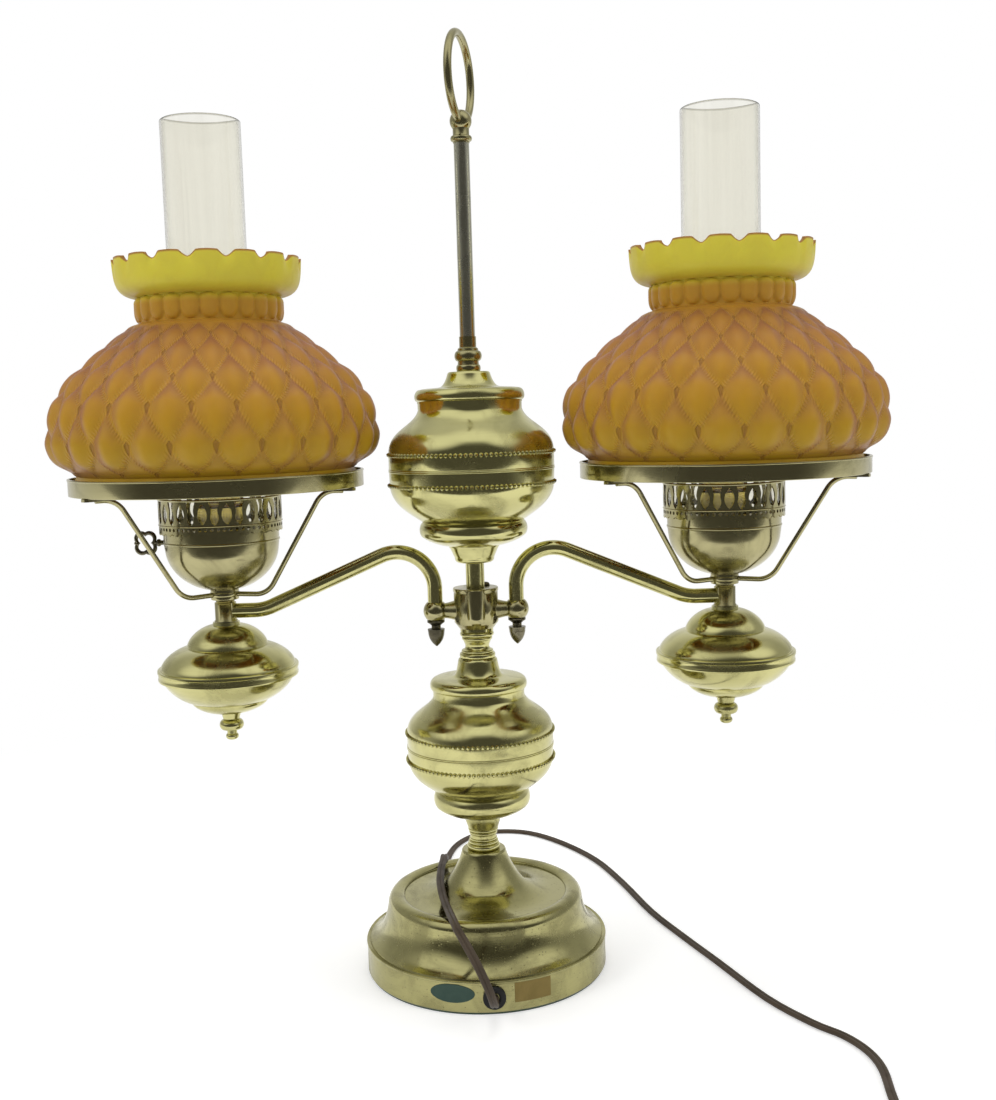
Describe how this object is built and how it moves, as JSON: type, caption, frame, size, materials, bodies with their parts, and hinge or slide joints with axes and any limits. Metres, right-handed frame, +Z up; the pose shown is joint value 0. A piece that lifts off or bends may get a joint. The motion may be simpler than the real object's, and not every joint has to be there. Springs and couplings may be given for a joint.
{
  "type": "student lamp",
  "caption": "Twin-arm student lamp in spun brass with quilted amber shades, clear chimneys, swivelling arms, a ring-topped carrying rod, a round weighted base and a mains cord.",
  "frame": {"origin": "centre of the base's underside, on the table", "axes": "+Z up, +X to the right-hand lamp head, -Y to the cord's outlet"},
  "size_m": [0.5248, 0.5561, 0.5933],
  "materials": {
    "brass": "polished, lightly tarnished",
    "rod_brass": "threaded, plain",
    "dark_brass": "antique dark patina",
    "socket_brass": "drawn shell",
    "amber_glass": "satin, quilted",
    "clear_glass": "clear",
    "bulb_glass": "frosted",
    "felt": "felt",
    "cast_weight": "raw casting",
    "steel": "plated",
    "bushing": "moulded",
    "cord": "moulded flat cord",
    "tie": "thin strap"
  },
  "bodies": {
    "root": {"base_felt": "felt", "base_weight": "cast_weight", "base_skirt": "brass", "base_cone": "brass", "base_locknut": "steel", "cord_bushing": "bushing", "stem_rod": "rod_brass", "base_neck": "brass", "lower_vase_bottom": "brass", "lower_vase_top": "brass", "lower_vase_cap": "brass", "hub_neck": "brass", "hub": "brass", "hub_screw": "dark_brass", "stem_tube": "brass", "upper_vase_seat": "brass", "upper_vase_bottom": "brass", "upper_vase_top": "brass", "upper_vase_cap": "brass", "rod_collar": "brass", "carry_rod": "dark_brass", "ring_finial": "brass", "ring_handle": "brass", "left_acorn_nut": "dark_brass", "right_acorn_nut": "dark_brass", "cord_lead": "cord", "cord_coil": "cord", "cord_tie": "tie", "plug": "cord"},
    "left_arm": {"left_arm": "brass", "left_coupling": "brass", "left_nipple": "rod_brass", "left_font_top": "brass", "left_font_bottom": "brass", "left_drop_finial": "brass", "left_holder": "brass", "left_shade_ring": "brass", "left_cup": "brass", "left_socket": "socket_brass", "left_gallery": "brass", "left_bulb": "bulb_glass"},
    "left_shade_body": {"left_shade": "amber_glass"},
    "left_chimney_body": {"left_chimney": "clear_glass"},
    "left_key_body": {"left_key": "dark_brass"},
    "right_arm": {"right_arm": "brass", "right_coupling": "brass", "right_nipple": "rod_brass", "right_font_top": "brass", "right_font_bottom": "brass", "right_drop_finial": "brass", "right_holder": "brass", "right_shade_ring": "brass", "right_cup": "brass", "right_socket": "socket_brass", "right_gallery": "brass", "right_bulb": "bulb_glass"},
    "right_shade_body": {"right_shade": "amber_glass"},
    "right_chimney_body": {"right_chimney": "clear_glass"},
    "right_key_body": {"right_key": "dark_brass"}
  },
  "joints": [
    {"name": "left_arm_swivel", "type": "hinge", "parent": "root", "child": "left_arm", "pos_m": [-0.026, 0, 0.2345], "axis": [0, 0, 1], "range_deg": [-45, 45]},
    {"name": "left_shade_lift", "type": "slide", "parent": "left_arm", "child": "left_shade_body", "axis": [0, 0, 1], "range_m": [0, 0.23]},
    {"name": "left_chimney_lift", "type": "slide", "parent": "left_arm", "child": "left_chimney_body", "axis": [0, 0, 1], "range_m": [0, 0.06]},
    {"name": "left_key_turn", "type": "hinge", "parent": "left_arm", "child": "left_key_body", "pos_m": [-0.16, 0, 0.2839], "axis": [-1, 0, 0], "continuous": true},
    {"name": "right_arm_swivel", "type": "hinge", "parent": "root", "child": "right_arm", "pos_m": [0.026, 0, 0.2345], "axis": [0, 0, 1], "range_deg": [-45, 45]},
    {"name": "right_shade_lift", "type": "slide", "parent": "right_arm", "child": "right_shade_body", "axis": [0, 0, 1], "range_m": [0, 0.23]},
    {"name": "right_chimney_lift", "type": "slide", "parent": "right_arm", "child": "right_chimney_body", "axis": [0, 0, 1], "range_m": [0, 0.06]},
    {"name": "right_key_turn", "type": "hinge", "parent": "right_arm", "child": "right_key_body", "pos_m": [0.16, 0, 0.2839], "axis": [0.5, 0.866, 0], "continuous": true}
  ]
}
